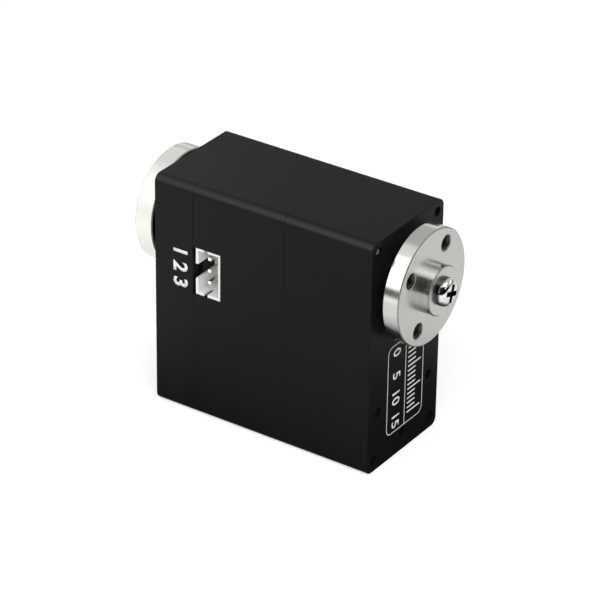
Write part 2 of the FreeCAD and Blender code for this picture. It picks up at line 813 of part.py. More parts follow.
def tap_horn(body, low, high):
    """Cuts the four tapped holes through a horn's disc and bevels their mouths."""
    radius = S.horn_thread / 2
    pocket(body, low, high, circles(radius, *horn_hole_places()))
    bevel(
        body,
        S.horn_hole_bevel,
        lambda edge: is_circle(edge, radius) and (at_x(edge, low) or at_x(edge, high)),
    )


horn_radius = S.horn_diameter / 2
zero = size(0)
hub_rear = front + S.shaft_rise
socket_end = S.horn_boss_height - S.horn_boss_wall
spline_end = socket_end - S.shaft_rise

horn_turning = new_body("horn_turning")
turn(
    horn_turning,
    (hub_rear, 0),
    (hub_rear, S.horn_hub / 2),
    (-S.horn_thickness, S.horn_hub / 2),
    (-S.horn_thickness, horn_radius - S.horn_edge),
    (S.horn_edge - S.horn_thickness, horn_radius),
    (-S.horn_edge, horn_radius),
    (zero, horn_radius - S.horn_edge),
    (zero, S.horn_boss / 2),
    (S.horn_boss_height - S.horn_hole_bevel, S.horn_boss / 2),
    (S.horn_boss_height, S.horn_boss / 2 - S.horn_hole_bevel),
    (S.horn_boss_height, 0),
)
tap_horn(horn_turning, -S.horn_thickness, zero)
pocket(horn_turning, hub_rear, S.horn_boss_height, circles(S.screw_thread / 2 + S.thread_play, (0, 0)))


def spline_ring(low, high, play):
    """A straight-sided spline about the X axis, widened all round by the play."""
    teeth = whole(S.spline_teeth)
    foot = S.spline_foot.number
    land = S.spline_land.number
    tip = S.spline_diameter.number / 2 + play
    root = tip - S.spline_depth.number
    pitch = 2 * math.pi / teeth
    widening = play / tip
    points = []
    for k in range(teeth):
        middle = k * pitch
        for radius, share in ((root, -foot), (tip, -land), (tip, land), (root, foot)):
            angle = middle + share * pitch + math.copysign(widening, share)
            points.append(V(low.number, radius * math.sin(angle), radius * math.cos(angle)))
    face = Part.Face(Part.makePolygon(points + points[:1]))
    return face.extrude(V(high.number - low.number, 0, 0))


horn_socket = shaped("horn_socket", spline_ring(hub_rear, socket_end, S.spline_play.number))
output_horn = doc.addObject("Part::Cut", "output_horn")
output_horn.Base = horn_turning
output_horn.Tool = horn_socket

idler_low = rear - S.idler_gap - S.idler_thickness
idler_high = rear - S.idler_gap
idler_seat_radius = S.idler_bearing_outside / 2
idler_horn = new_body("idler_horn")
turn(
    idler_horn,
    (idler_low, idler_seat_radius),
    (stub_root, idler_seat_radius),
    (stub_root, idler_seat_radius - S.idler_shoulder),
    (idler_high, idler_seat_radius - S.idler_shoulder),
    (idler_high, horn_radius - S.horn_edge),
    (idler_high - S.horn_edge, horn_radius),
    (idler_low + S.horn_edge, horn_radius),
    (idler_low, horn_radius - S.horn_edge),
)
tap_horn(idler_horn, idler_low, idler_high)

idler_washer = new_body("idler_washer")
idler_bearing_wall = (S.idler_bearing_outside - S.idler_bearing_bore) / 2
turn(
    idler_washer,
    *tube(
        idler_seat,
        idler_seat + S.washer_thickness,
        S.screw_thread / 2 + S.thread_play,
        S.idler_bearing_bore / 2 + idler_bearing_wall * S.ring_share,
    ),
)


# ---------------------------------------------------------------------------
# Bearings and seal
# ---------------------------------------------------------------------------
def bearing(name, low, high, bore, outside):
    """A shielded ball bearing: the outer ring with its two shields, and the inner ring."""
    wall = (outside - bore) / 2
    inner = bore / 2 + wall * S.ring_share
    outer = outside / 2 - wall * S.ring_share
    shield = inner + S.shield_play
    outer_ring = new_body(f"{name}_outer_ring")
    turn(
        outer_ring,
        (low, shield),
        (low + S.shield_thickness, shield),
        (low + S.shield_thickness, outer),
        (high - S.shield_thickness, outer),
        (high - S.shield_thickness, shield),
        (high, shield),
        (high, outside / 2),
        (low, outside / 2),
    )
    inner_ring = new_body(f"{name}_inner_ring")
    turn(inner_ring, *tube(low, high, bore / 2, inner))


bearing("front_bearing", gear_ceiling, gear_ceiling + S.bearing_width, S.bearing_bore, S.bearing_outside)
bearing(
    "tail_bearing",
    front_seam - S.tail_bearing_width,
    front_seam,
    S.tail_diameter,
    S.tail_bearing_outside,
)
bearing(
    "idler_bearing",
    stub_root - S.idler_bearing_width,
    stub_root,
    S.idler_bearing_bore,
    S.idler_bearing_outside,
)

output_seal = new_body("output_seal")
turn(
    output_seal,
    *tube(seal_front - S.seal_width, seal_front, journal + S.running_play, S.seal_outside / 2),
)


# ---------------------------------------------------------------------------
# Output shaft and angle sensor
# ---------------------------------------------------------------------------
magnet_rear = board_front + S.chip_height + S.magnet_air
magnet_front = magnet_rear + S.magnet_thickness
tail = S.tail_diameter / 2
collar = journal + S.shaft_collar
screw_hole_end = S.horn_boss_height - S.screw_length - S.tap_run_out

shaft_turning = new_body("shaft_turning")
turn(
    shaft_turning,
    (magnet_front, 0),
    (magnet_front, tail),
    (layer_4_low, tail),
    (layer_4_low, journal),
    (layer_4_high, journal),
    (layer_4_high, collar),
    (gear_ceiling, collar),
    (gear_ceiling, journal),
    (hub_rear, journal),
    (hub_rear, S.spline_diameter / 2 - S.spline_depth),
    (spline_end, S.spline_diameter / 2 - S.spline_depth),
    (spline_end, 0),
)
pocket(shaft_turning, screw_hole_end, spline_end, circles(S.screw_thread / 2, (0, 0)))

core = cylinder(layer_4_low, spline_end, S.spline_diameter.number / 2 - S.spline_depth.number)
output_wheel = shaped(
    "output_wheel",
    gear_ring(whole(S.output_teeth), radius_output, layer_4_low, layer_4_high, False, True).cut(core),
)
shaft_spline = shaped("shaft_spline", spline_ring(hub_rear, spline_end, 0).cut(core))
output_shaft = doc.addObject("Part::MultiFuse", "output_shaft")
output_shaft.Shapes = [shaft_turning, output_wheel, shaft_spline]

magnet_radius = S.magnet_diameter / 2
sensor_magnet = new_body("sensor_magnet")
pad(sensor_magnet, magnet_rear, magnet_front, circles(magnet_radius, (0, 0)))
magnet_cup = new_body("magnet_cup")
turn(
    magnet_cup,
    (magnet_rear, magnet_radius),
    (magnet_front, magnet_radius),
    (magnet_front, tail),
    (magnet_front + S.cup_grip, tail),
    (magnet_front + S.cup_grip, magnet_radius + S.cup_wall),
    (magnet_rear, magnet_radius + S.cup_wall),
)


# ---------------------------------------------------------------------------
# Gear train
# ---------------------------------------------------------------------------
def double_gear(name, wheel, pinion, bore, up):
    """A wheel and a pinion in one piece, bored to turn on its pin."""
    shape = wheel.fuse(pinion).removeSplitter()
    box = shape.BoundBox
    hole = Part.makeCylinder(bore.number, box.XLength, V(box.XMin, 0, 0), V(1, 0, 0))
    return shaped(name, shape.cut(hole), up)


double_gear(
    "gear_1",
    gear_ring(whole(S.wheel_1_teeth), radius_wheel_1, layer_1_low, layer_1_high, False, True),
    gear_ring(whole(S.pinion_1_teeth), radius_pinion_1, layer_1_high, layer_2_high, True, False),
    arbor_seat + S.running_play,
    arbor_z,
)
double_gear(
    "gear_2",
    gear_ring(whole(S.wheel_2_teeth), radius_wheel_2, layer_2_low, layer_2_high, False, True),
    gear_ring(whole(S.pinion_2_teeth), radius_pinion_2, layer_2_high, layer_3_high, True, True),
    tail + S.running_play,
    zero,
)
double_gear(
    "gear_3",
    gear_ring(wheel_3_teeth, radius_wheel_3, layer_3_low, layer_3_high, False, False),
    gear_ring(whole(S.pinion_3_teeth), radius_pinion_3, layer_3_high, layer_4_high, True, False),
    arbor_seat + S.running_play,
    arbor_z,
)

gear_arbor = new_body("gear_arbor")
pad(gear_arbor, arbor_rear, arbor_front, circles(arbor_seat, (0, 0)))
place(gear_arbor, up=arbor_z)


# ---------------------------------------------------------------------------
# Motor
# ---------------------------------------------------------------------------
shaft_radius = S.motor_shaft / 2
shaft_rear = bulkhead_rear - S.motor_shaft_inside
shaft_front = layer_1_high + S.running_play

motor_can = new_body("motor_can")
turn(
    motor_can,
    (motor_rear, 0),
    (shaft_rear, 0),
    (shaft_rear, shaft_radius + S.running_play),
    (bulkhead_rear + S.motor_pilot_height, shaft_radius + S.running_play),
    (bulkhead_rear + S.motor_pilot_height, S.motor_pilot / 2 - S.running_play),
    (bulkhead_rear, S.motor_pilot / 2 - S.running_play),
    (bulkhead_rear, motor_radius - S.motor_edge),
    (bulkhead_rear - S.motor_edge, motor_radius),
    (motor_rear, motor_radius),
)
pocket(
    motor_can,
    front_seam - S.motor_screw_sink - S.motor_screw_length,
    bulkhead_rear,
    circles(S.motor_screw_thread / 2, (-(S.motor_screw_spread / 2), 0), (S.motor_screw_spread / 2, 0)),
)
place(motor_can, up=motor_z)

motor_cap = new_body("motor_cap")
cap_radius = motor_radius - S.motor_cap_step
turn(
    motor_cap,
    (motor_rear - S.motor_cap_length, 0),
    (motor_rear - S.motor_cap_length, cap_radius - S.motor_edge),
    (motor_rear - S.motor_cap_length + S.motor_edge, cap_radius),
    (motor_rear, cap_radius),
    (motor_rear, 0),
)
place(motor_cap, up=motor_z)

motor_shaft = new_body("motor_shaft")
pad(motor_shaft, shaft_rear + S.running_play, shaft_front, circles(shaft_radius, (0, 0)))
place(motor_shaft, up=motor_z)

rotor_ring = gear_ring(whole(S.rotor_teeth), radius_rotor, layer_1_low, layer_1_high, True, False)
shaped("motor_pinion", rotor_ring.cut(cylinder(layer_1_low, layer_1_high, shaft_radius.number)), motor_z)


# ---------------------------------------------------------------------------
# Circuit board and connectors
# ---------------------------------------------------------------------------
mouth = side - S.socket_recess
socket_back = mouth - S.socket_length
pin_half = S.pin_side / 2
pin_x = board_front + S.pin_offset
pin_foot = socket_back - S.pin_bend
pin_heights = [-S.socket_drop + S.pin_pitch * step for step in (1, 0, -1)]

control_board = new_body("control_board")
pad(
    control_board,
    board_rear,
    board_front,
    rounded_rectangle(-S.board_half_width, S.board_half_width, -S.board_base, S.board_top, S.board_corner),
)
pocket(
    control_board,
    board_rear,
    board_front,
    circles(S.pin_hole / 2, *[(foot, up) for foot in (-pin_foot, pin_foot) for up in pin_heights]),
)


def chip(name, low, high, width, up):
    """A square chip on the board, its middle at the given height."""
    half = width / 2
    pad(new_body(name), low, high, rectangle(-half, half, up - half, up + half))


chip("angle_chip", board_front, board_front + S.chip_height, S.chip_side, zero)
chip("controller_chip", board_rear - S.controller_height, board_rear, S.controller_side, S.controller_rise)


def span(one, other):
    """Two places along Y, the lower first."""
    return sorted((one, other), key=lambda end: end.number)


def connector(label, hand):
    """A three-way connector and its bent pins: hand is -1 for one that opens to -Y and 1 for +Y."""
    low = -(S.socket_drop + S.socket_height / 2)
    high = low + S.socket_height
    wall = S.socket_wall
    rear_wall = board_front
    front_wall = board_front + S.socket_depth
    slot_half = S.socket_slot / 2
    notch_half = S.socket_end_slot / 2
    inside = span(mouth * hand, (socket_back + S.socket_floor) * hand)
    notched = span(mouth * hand, (mouth - S.socket_end_depth) * hand)
    floor = span(socket_back * hand, (socket_back + S.socket_floor) * hand)
    body = new_body(f"{label}_socket")
    pad(body, *span(mouth * hand, socket_back * hand), rectangle(rear_wall, front_wall, low, high), axis="Y")
    cavity = rectangle(rear_wall + wall, front_wall - wall, low + wall, high - wall)
    pocket(body, *inside, cavity, axis="Y")
    board_slot = rectangle(rear_wall, rear_wall + wall, -S.socket_drop - slot_half, slot_half - S.socket_drop)
    pocket(body, *inside, board_slot, axis="Y")
    for foot in (low, high - wall):
        pocket(body, *notched, rectangle(pin_x - notch_half, pin_x + notch_half, foot, foot + wall), axis="Y")
    for up in pin_heights:
        pin_section = rectangle(pin_x - pin_half, pin_x + pin_half, up - pin_half, up + pin_half)
        pocket(body, *floor, pin_section, axis="Y")
    for k, up in enumerate(pin_heights, start=1):
        pin_section = rectangle(pin_x - pin_half, pin_x + pin_half, up - pin_half, up + pin_half)
        foot = pin_foot * hand
        foot_section = rectangle(foot - pin_half, foot + pin_half, up - pin_half, up + pin_half)
        pin = new_body(f"{label}_pin_{k}")
        pad(pin, *span((mouth - S.pin_tip_sink) * hand, foot - pin_half * hand), pin_section, axis="Y")
        pad(pin, board_rear - pin_half, pin_x + pin_half, foot_section)


connector("left", -1)
connector("right", 1)


# ---------------------------------------------------------------------------
# Check and export
# ---------------------------------------------------------------------------
PIECES = [
    "front_case", "middle_case", "rear_cover",
    "case_bolt_1", "case_bolt_2", "case_bolt_3", "case_bolt_4",
    "output_seal", "front_bearing_outer_ring", "front_bearing_inner_ring",
    "tail_bearing_outer_ring", "tail_bearing_inner_ring",
    "output_shaft", "output_horn", "horn_screw", "sensor_magnet", "magnet_cup",
    "gear_1", "gear_2", "gear_3", "gear_arbor",
    "motor_can", "motor_cap", "motor_screw_1", "motor_screw_2", "motor_shaft", "motor_pinion",
    "control_board", "angle_chip", "controller_chip",
    "left_socket", "left_pin_1", "left_pin_2", "left_pin_3",
    "right_socket", "right_pin_1", "right_pin_2", "right_pin_3",
    "idler_horn", "idler_bearing_outer_ring", "idler_bearing_inner_ring", "idler_washer", "idler_screw",
]

doc.recompute()
for item in doc.Objects:
    if {"Invalid", "Error"} & set(item.State):
        raise RuntimeError(f"{item.Name} did not rebuild: {item.State}")
os.makedirs("parts", exist_ok=True)
for name in PIECES:
    shape = doc.getObject(name).Shape
    if shape.isNull() or not shape.isValid() or len(shape.Solids) != 1:
        raise RuntimeError(f"{name} is not one valid solid")
for name in PIECES:
    doc.getObject(name).Shape.exportStep(f"parts/{name}.step")
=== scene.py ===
"""Looks of a robot's joint actuator: a black metal case, an output horn and an idler horn."""

import json
import math

import bmesh
import bpy
from mathutils import Matrix, Vector


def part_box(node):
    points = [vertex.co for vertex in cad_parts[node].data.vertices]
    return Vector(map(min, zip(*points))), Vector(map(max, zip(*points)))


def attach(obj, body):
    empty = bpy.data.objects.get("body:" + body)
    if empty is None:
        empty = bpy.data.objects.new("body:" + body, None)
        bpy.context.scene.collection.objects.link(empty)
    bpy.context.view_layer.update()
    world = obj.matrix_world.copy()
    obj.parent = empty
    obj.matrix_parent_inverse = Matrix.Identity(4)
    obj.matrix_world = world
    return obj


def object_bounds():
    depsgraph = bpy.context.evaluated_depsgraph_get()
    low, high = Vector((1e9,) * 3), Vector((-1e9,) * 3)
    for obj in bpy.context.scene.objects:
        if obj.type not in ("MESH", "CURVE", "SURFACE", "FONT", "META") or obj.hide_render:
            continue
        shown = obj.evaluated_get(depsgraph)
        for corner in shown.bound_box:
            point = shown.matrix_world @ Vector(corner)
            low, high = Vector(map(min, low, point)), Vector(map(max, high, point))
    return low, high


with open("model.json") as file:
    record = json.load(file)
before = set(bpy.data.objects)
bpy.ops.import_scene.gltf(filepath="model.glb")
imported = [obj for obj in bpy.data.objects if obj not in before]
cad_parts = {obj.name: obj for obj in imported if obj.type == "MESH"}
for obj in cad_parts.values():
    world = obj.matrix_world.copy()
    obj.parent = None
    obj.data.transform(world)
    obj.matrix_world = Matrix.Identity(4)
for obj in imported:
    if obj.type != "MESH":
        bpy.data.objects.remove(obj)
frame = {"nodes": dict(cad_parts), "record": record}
cad_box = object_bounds()

# ---------------------------------------------------------------------------
# Case shells
# ---------------------------------------------------------------------------
# Three lengths of aluminium bar, milled hollow and bolted together end to end.
# They are bead blasted and anodised black: the dyed oxide keeps the fine blasted grain, so
# each face shows a soft grey sheen and no mirror image.
MM = 0.001
CASE_BLACK = "#0f0f10"
CASE_WORN = "#131216"
CASE_ROUGHNESS = (0.36, 0.42)
# the oxide is porous and drinks most of the light, so it reflects less than a clear coat
OXIDE_IOR = 1.17
# a painted sheen: the long edges reflect as if through this IOR
SHEEN_EDGE_IOR = 1.34
BLAST_GRAIN = 0.22
BLAST_DEPTH = 0.003
HAND_MARK = 7.0
# over a rounded long edge, the normal's Y times its Z goes from none to a half at the middle
LONG_EDGE = (0.1, 0.5)
# the patterns' noise seldom leaves these values
NOISE_LOW, NOISE_HIGH = 0.3, 0.7


def linear(colour):
    """An sRGB hex colour as linear red, green and blue, with full alpha."""
    channels = [int(colour[k:k + 2], 16) / 255 for k in (1, 3, 5)]
    return [c / 12.92 if c <= 0.04045 else ((c + 0.055) / 1.055) ** 2.4 for c in channels] + [1.0]


def add(tree, kind, sockets=None, **settings):
    """Adds a node. Settings are its properties; sockets has a value or an output for each input."""
    made = tree.nodes.new(kind)
    for name, value in settings.items():
        setattr(made, name, value)
    for name, value in (sockets or {}).items():
        if isinstance(value, bpy.types.NodeSocket):
            tree.links.new(value, made.inputs[name])
        else:
            made.inputs[name].default_value = value
    return made


def nodes_of(made):
    """A material's node tree and its shader."""
    return made.node_tree, made.node_tree.nodes["Principled BSDF"]


def specks(tree, size, detail=2.0):
    """Noise whose specks are about size millimetres across."""
    place = add(tree, "ShaderNodeTexCoord").outputs["Object"]
    noise = {"Vector": place, "Scale": 1 / (size * MM), "Detail": detail}
    return add(tree, "ShaderNodeTexNoise", noise).outputs["Fac"]


def surface(name, colours=None, roughness=None, bumps=None, detail=2.0, **sockets):
    """A new material, with its sizes and depths in millimetres.

    colours is two hex colours and the size of the specks that mottle them, with some detail.
    roughness is its lowest and highest value and the size of its patches; where that is left out,
    they follow the colours' specks. bumps is their size and depth. The other names are the
    shader's own sockets, with plain values.
    """
    made = bpy.data.materials.new(name)
    made.use_nodes = True
    tree, shader = nodes_of(made)
    for socket, value in sockets.items():
        shader.inputs[socket.replace("_", " ")].default_value = value
    if colours:
        first, second, size = colours
        mottle = specks(tree, size, detail)
        # inputs 6 and 7 of this node are its two colours, and output 2 is the mixed colour
        mixed = add(
            tree,
            "ShaderNodeMix",
            {"Factor": mottle, 6: linear(first), 7: linear(second)},
            data_type="RGBA",
        )
        tree.links.new(mixed.outputs[2], shader.inputs["Base Color"])
    if roughness:
        low, high, *size = roughness
        spread = add(
            tree,
            "ShaderNodeMapRange",
            {
                "Value": specks(tree, *size) if size else mottle,
                "From Min": NOISE_LOW,
                "From Max": NOISE_HIGH,
                "To Min": low,
                "To Max": high,
            },
        )
        tree.links.new(spread.outputs["Result"], shader.inputs["Roughness"])
    if bumps:
        size, depth = bumps
        risen = add(
            tree,
            "ShaderNodeBump",
            {"Height": specks(tree, size), "Strength": 1.0, "Distance": depth * MM},
        )
        tree.links.new(risen.outputs["Normal"], shader.inputs["Normal"])
    return made


def dress(made, *names):
    """Puts a material on CAD nodes."""
    for name in names:
        mesh = frame["nodes"][name].data
        mesh.materials.clear()
        mesh.materials.append(made)


anodised = surface(
    "Black anodised aluminium",
    colours=(CASE_BLACK, CASE_WORN, HAND_MARK),
    roughness=CASE_ROUGHNESS,
    bumps=(BLAST_GRAIN, BLAST_DEPTH),
    detail=3.0,
    Metallic=0.0,
    IOR=OXIDE_IOR,
)
# the long edges are given a higher IOR than the flats: a painted sheen that brightens the highlight
# along them
tree, shader = nodes_of(anodised)
normal = add(tree, "ShaderNodeTexCoord").outputs["Normal"]
normal = add(tree, "ShaderNodeSeparateXYZ", {"Vector": normal}).outputs
slant = add(tree, "ShaderNodeMath", {0: normal["Y"], 1: normal["Z"]}, operation="MULTIPLY")
slant = add(tree, "ShaderNodeMath", {0: slant.outputs["Value"]}, operation="ABSOLUTE")
edge_sheen = add(
    tree,
    "ShaderNodeMapRange",
    {
        "Value": slant.outputs["Value"],
        "From Min": LONG_EDGE[0],
        "From Max": LONG_EDGE[1],
        "To Min": OXIDE_IOR,
        "To Max": SHEEN_EDGE_IOR,
    },
    interpolation_type="SMOOTHSTEP",
)
tree.links.new(edge_sheen.outputs["Result"], shader.inputs["IOR"])
dress(anodised, "front_case", "middle_case", "rear_cover")

# ---------------------------------------------------------------------------
# Marks on the case
# ---------------------------------------------------------------------------
# A laser burns the dye out of the oxide, which leaves matt light grey lines a few hundredths deep.
# The side face numbers the connector's pins; the front face has a plain ruled scale in a frame.
MARK_THIN = ("#b4b4b2", "#dcdcd8")
MARK_BOLD = ("#d8d8d4", "#e8e8e4")
MARK_SPECK = 0.3
MARK_RISE = 0.01
PIN_DIGIT = 3.3
PIN_DIGIT_PITCH = 3.3
PIN_DIGIT_WEIGHT = 0.028
PIN_DIGIT_BACK = 2.85
PIN_DIGIT_DROP = 0.15
FRAME_LEFT, FRAME_RIGHT = -5.7, 6.65
FRAME_LOW, FRAME_HIGH = -31.5, -12.4
FRAME_CORNER = 1.5
FRAME_LINE = 0.2
DIVIDER = 0.45
SCALE_ZERO = -14.3
SCALE_LENGTH = 15
SCALE_STEP = 5
TICK_LONG, TICK_SHORT = 4.4, 2.6
TICK_START = 0.9
TICK_WEIGHT = 0.3
SCALE_DIGIT = 2.5
SCALE_DIGIT_LEFT = -2.6
SCALE_DIGIT_WEIGHT = 0.01

laser_marked = {"Roughness": 0.6, "IOR": 1.3}
etched = surface("Laser-marked oxide", colours=(*MARK_THIN, MARK_SPECK), **laser_marked)
etched_bold = surface(
    "Laser-marked oxide, double pass", colours=(*MARK_BOLD, MARK_SPECK), **laser_marked
)


def piece(name, shape, made, body):
    """An object for a finished shape, riding on a body."""
    mesh = bpy.data.meshes.new(name)
    shape.to_mesh(mesh)
    shape.free()
    mesh.materials.append(made)
    item = bpy.data.objects.new(name, mesh)
    bpy.context.scene.collection.objects.link(item)
    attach(item, body)


def axes(origin, across, up):
    """Lays a drawing down: its origin in millimetres, its x along across and its y along up."""
    across, up = Vector(across), Vector(up)
    turned = Matrix((across, up, across.cross(up))).transposed().to_4x4()
    return Matrix.Translation(Vector(origin) * MM) @ turned


def block(left, right, low, high, rise=0.0):
    """Fits a unit square or cube to a part of a drawing, in millimetres, on the drawing's plane."""
    middle = Vector(((left + right) / 2, (low + high) / 2, rise / 2)) * MM
    span = Matrix.Diagonal(Vector((right - left, high - low, rise)) * MM).to_4x4()
    return Matrix.Translation(middle) @ span


def thicken(shape, normal):
    """Gives flat marks their thickness along the normal."""
    grown = bmesh.ops.extrude_face_region(shape, geom=shape.faces[:])
    risen = [v for v in grown["geom"] if isinstance(v, bmesh.types.BMVert)]
    bmesh.ops.translate(shape, verts=risen, vec=normal * MARK_RISE * MM)
    bmesh.ops.recalc_face_normals(shape, faces=shape.faces)


def digits(text, height, weight, where):
    """Plain digits of a height in millimetres, as a thin plate laid down by where."""
    curve = bpy.data.curves.new("digit", "FONT")
    curve.body = text
    curve.align_x = "CENTER"
    curve.align_y = "CENTER"
    curve.offset = weight
    curve.resolution_u = 6
    drawn = bpy.data.objects.new("digit", curve)
    bpy.context.scene.collection.objects.link(drawn)
    bpy.context.view_layer.update()
    flat = drawn.evaluated_get(bpy.context.evaluated_depsgraph_get())
    mesh = bpy.data.meshes.new_from_object(flat)
    bpy.data.objects.remove(drawn)
    low = Vector(map(min, *[v.co for v in mesh.vertices]))
    high = Vector(map(max, *[v.co for v in mesh.vertices]))
    scale = height * MM / (high.y - low.y)
    mesh.transform(where @ Matrix.Scale(scale, 4) @ Matrix.Translation(-(low + high) / 2))
    shape = bmesh.new()
    shape.from_mesh(mesh)
    bmesh.ops.remove_doubles(shape, verts=shape.verts, dist=1e-7)
    thicken(shape, where.to_3x3() @ Vector((0, 0, 1)))
    return shape


def ruled(where, *lines):
    """Straight lines, each (left, right, low, high) in millimetres, as plates laid by where."""
    shape = bmesh.new()
    for line in lines:
        bmesh.ops.create_cube(shape, size=1.0, matrix=where @ block(*line, MARK_RISE))
    return shape


front_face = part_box("front_case")[1].x / MM
near_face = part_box("middle_case")[0].y / MM
socket_low, socket_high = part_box("left_socket")
socket_middle = (socket_low.z + socket_high.z) / 2 / MM
digit_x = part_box("rear_cover")[1].x / MM - PIN_DIGIT_BACK
for k, text in enumerate("123"):
    digit_z = socket_middle - PIN_DIGIT_DROP + PIN_DIGIT_PITCH * (1 - k)
    where = axes((digit_x, near_face, digit_z), (0, 0, -1), (1, 0, 0))
    shape = digits(text, PIN_DIGIT, PIN_DIGIT_WEIGHT, where)
    piece(f"pin_digit_{text}", shape, etched_bold, "case")

# the frame on the front face: its drawing plane has x along +Y and y along +Z
front_plane = axes((front_face, 0, 0), (0, 1, 0), (0, 0, 1))
shape = bmesh.new()
outline = block(FRAME_LEFT, FRAME_RIGHT, FRAME_LOW, FRAME_HIGH)
bmesh.ops.create_grid(shape, x_segments=1, y_segments=1, size=0.5, matrix=outline)
bmesh.ops.bevel(
    shape,
    geom=shape.verts[:],
    offset=FRAME_CORNER * MM,
    segments=8,
    profile=0.5,
    affect="VERTICES",
    material=-1,
)
inner = shape.faces[:]
bmesh.ops.inset_region(
    shape, faces=inner, thickness=FRAME_LINE * MM, use_boundary=True, use_even_offset=True
)
bmesh.ops.delete(shape, geom=inner, context="FACES")
thicken(shape, Vector((0, 0, 1)))
shape.transform(front_plane)
piece("scale_frame", shape, etched, "case")

divider = (
    DIVIDER - FRAME_LINE / 2,
    DIVIDER + FRAME_LINE / 2,
    FRAME_LOW + FRAME_LINE,
    FRAME_HIGH - FRAME_LINE,
)
piece("scale_divider", ruled(front_plane, divider), etched, "case")
ticks = []
for k in range(SCALE_LENGTH + 1):
    left, up = DIVIDER + TICK_START, SCALE_ZERO - k
    right = left + (TICK_LONG if k % SCALE_STEP == 0 else TICK_SHORT)
    ticks.append((left, right, up - TICK_WEIGHT / 2, up + TICK_WEIGHT / 2))
piece("scale_ticks", ruled(front_plane, *ticks), etched_bold, "case")
for k in range(0, SCALE_LENGTH + 1, SCALE_STEP):
    where = axes((front_face, SCALE_DIGIT_LEFT, SCALE_ZERO - k), (0, 0, -1), (0, 1, 0))
    shape = digits(str(k), SCALE_DIGIT, SCALE_DIGIT_WEIGHT, where)
    piece(f"scale_digit_{k}", shape, etched_bold, "case")

# ---------------------------------------------------------------------------
# Horns
# ---------------------------------------------------------------------------
# Two discs turned from aluminium bar and lightly polished; four M3 holes are tapped through each.
# The lathe leaves fine rings on the faces and round the rim, which stretch each highlight.
HORN_ALUMINIUM = "#d5d5d1"
HORN_DULL = "#cdcdc9"
HORN_EDGE = "#a2a29f"
# the real feed marks are about 0.05 mm apart, too fine to show, so they are drawn wider
FEED_MARK = 0.16
FEED_DEPTH = 0.0007
# the roughness rises and falls over the feed marks by these factors
FEED_SPREAD = (0.85, 1.15)
RIM_ROUGHNESS = 0.2
FACE_ROUGHNESS = 0.26
EDGE_ROUGHNESS = 0.5
# a broken edge stands at 45 degrees, so it faces along the axis by this share; what differs
# from it by less than the first reach is all edge, and by more than the second not at all
EDGE_SHARE = math.sqrt(0.5)
EDGE_REACH = (0.15, 0.25)


def squareness(tree):
    """How squarely the surface faces along the output axis, from 0 to 1."""
    normal = add(tree, "ShaderNodeTexCoord").outputs["Normal"]
    normal = add(tree, "ShaderNodeSeparateXYZ", {"Vector": normal}).outputs
    return add(tree, "ShaderNodeMath", {0: normal["X"]}, operation="ABSOLUTE").outputs["Value"]


turned = surface("Turned aluminium", Metallic=1.0)
tree, shader = nodes_of(turned)
place = add(tree, "ShaderNodeTexCoord").outputs["Object"]
place = add(tree, "ShaderNodeSeparateXYZ", {"Vector": place}).outputs
flat = add(tree, "ShaderNodeCombineXYZ", {"X": place["Y"], "Y": place["Z"]}).outputs["Vector"]
radius = add(tree, "ShaderNodeVectorMath", {"Vector": flat}, operation="LENGTH").outputs["Value"]
rings = add(tree, "ShaderNodeCombineXYZ", {"X": place["X"], "Y": radius}).outputs["Vector"]
feed = add(
    tree,
    "ShaderNodeTexNoise",
    {"Vector": rings, "Scale": 1 / (FEED_MARK * MM), "Detail": 1.0},
    noise_dimensions="2D",
).outputs["Fac"]
# the faces are cut with a coarser feed than the rims, so they are duller
faced = squareness(tree)
dullness = add(
    tree,
    "ShaderNodeMapRange",
    {"Value": faced, "To Min": RIM_ROUGHNESS, "To Max": FACE_ROUGHNESS},
).outputs["Result"]
# the edges between them are broken with emery, which leaves them dullest
off_edge = add(tree, "ShaderNodeMath", {0: faced, 1: EDGE_SHARE}, operation="SUBTRACT")
off_edge = add(tree, "ShaderNodeMath", {0: off_edge.outputs["Value"]}, operation="ABSOLUTE")
broken = add(
    tree,
    "ShaderNodeMapRange",
    {
        "Value": off_edge.outputs["Value"],
        "From Min": EDGE_REACH[0],
        "From Max": EDGE_REACH[1],
        "To Min": 1.0,
        "To Max": 0.0,
    },
    interpolation_type="SMOOTHSTEP",
).outputs["Result"]
dullness = add(
    tree, "ShaderNodeMix", {"Factor": broken, "A": dullness, "B": EDGE_ROUGHNESS}
).outputs["Result"]
uneven = add(
    tree,
    "ShaderNodeMapRange",
    {
        "Value": feed,
        "From Min": NOISE_LOW,
        "From Max": NOISE_HIGH,
        "To Min": FEED_SPREAD[0],
        "To Max": FEED_SPREAD[1],
    },
).outputs["Result"]
uneven = add(tree, "ShaderNodeMath", {0: uneven, 1: dullness}, operation="MULTIPLY")
tree.links.new(uneven.outputs["Value"], shader.inputs["Roughness"])
metal = add(
    tree,
    "ShaderNodeMix",
    {"Factor": feed, 6: linear(HORN_DULL), 7: linear(HORN_ALUMINIUM)},
    data_type="RGBA",
).outputs[2]
metal = add(
    tree, "ShaderNodeMix", {"Factor": broken, 6: metal, 7: linear(HORN_EDGE)}, data_type="RGBA"
).outputs[2]
tree.links.new(metal, shader.inputs["Base Color"])
risen = add(tree, "ShaderNodeBump", {"Height": feed, "Strength": 1.0, "Distance": FEED_DEPTH * MM})
tree.links.new(risen.outputs["Normal"], shader.inputs["Normal"])
dress(turned, "output_horn", "idler_horn")

# the tapped threads: a helical ridge left on the wall of each hole, its metal darkened as painted
# shade for the dark inside of each hole
HORN_TURN = 31.1
HOLE_RADIUS = 1.5
THREAD_PITCH = 0.5
THREAD_HEIGHT = 0.54
THREAD_FOOT = 0.9
THREAD_STEPS = 24
# the ridge's foot lies a little inside the wall, so that no gap shows
THREAD_SUNK = 0.02
# along the axis, the output horn's threads run between these places, and the idler horn's
# threads end this far inside its faces
OUTPUT_THREAD = (-3.2, -0.15)
IDLER_THREAD_END = 0.2
